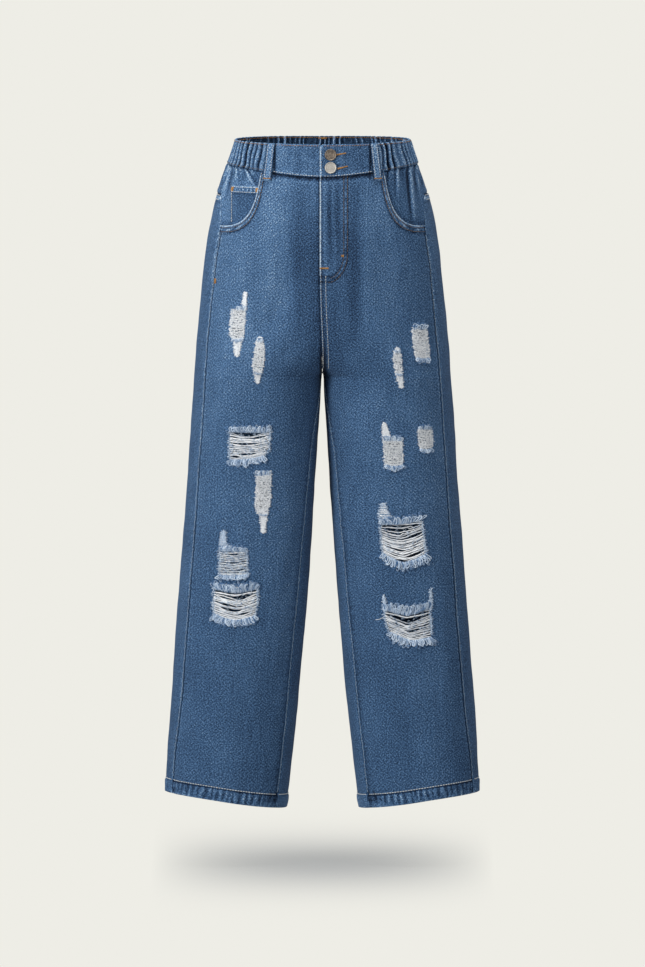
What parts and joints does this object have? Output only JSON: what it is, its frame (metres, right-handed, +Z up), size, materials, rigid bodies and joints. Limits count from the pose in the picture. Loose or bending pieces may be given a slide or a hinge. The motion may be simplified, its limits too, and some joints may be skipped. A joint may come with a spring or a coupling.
{
  "type": "ripped jeans",
  "caption": "High-rise wide-leg jeans with an elasticated back waist, a buttoned front, scoop pockets and frayed rips, filled out and hollow.",
  "frame": {"origin": "middle of the waist opening, 15 mm under the waistband's top edge, where the wearer's waist holds the jeans", "axes": "+Z up to the waist opening, -Y to the front, +X to the wearer's left"},
  "size_m": [0.4588, 0.2434, 0.9748],
  "materials": {
    "denim": "mid-blue stone-washed cotton twill",
    "denim_worn": "paler stone-washed cotton twill",
    "weft": "bare white cotton yarns, frayed",
    "bronze": "dark antique bronze, brushed",
    "nickel": "pale brushed nickel"
  },
  "bodies": {
    "root": {"front_left": "denim", "front_right": "denim", "back_left": "denim", "back_right": "denim", "yoke_left": "denim", "yoke_right": "denim", "pocket_facing_left": "denim", "pocket_facing_right": "denim", "waistband_front_left": "denim", "waistband_front_right": "denim", "waistband_elastic": "denim", "back_pocket_left": "denim", "back_pocket_right": "denim", "coin_pocket": "denim_worn", "fly_facing": "denim_worn", "belt_loop_front_left": "denim_worn", "belt_loop_front_right": "denim_worn", "belt_loop_back_left": "denim_worn", "belt_loop_back_right": "denim_worn", "belt_loop_centre": "denim_worn", "rip_right_hip": "weft", "rip_right_thigh": "weft", "rip_right_knee": "weft", "rip_right_under_knee": "weft", "rip_right_shin": "weft", "rip_right_calf": "weft", "rip_left_thigh": "weft", "rip_left_hip": "weft", "rip_left_knee": "weft", "rip_left_knee_outer": "weft", "rip_left_shin": "weft", "rip_left_calf": "weft", "button_upper": "bronze", "button_lower": "nickel"}
  },
  "joints": []
}
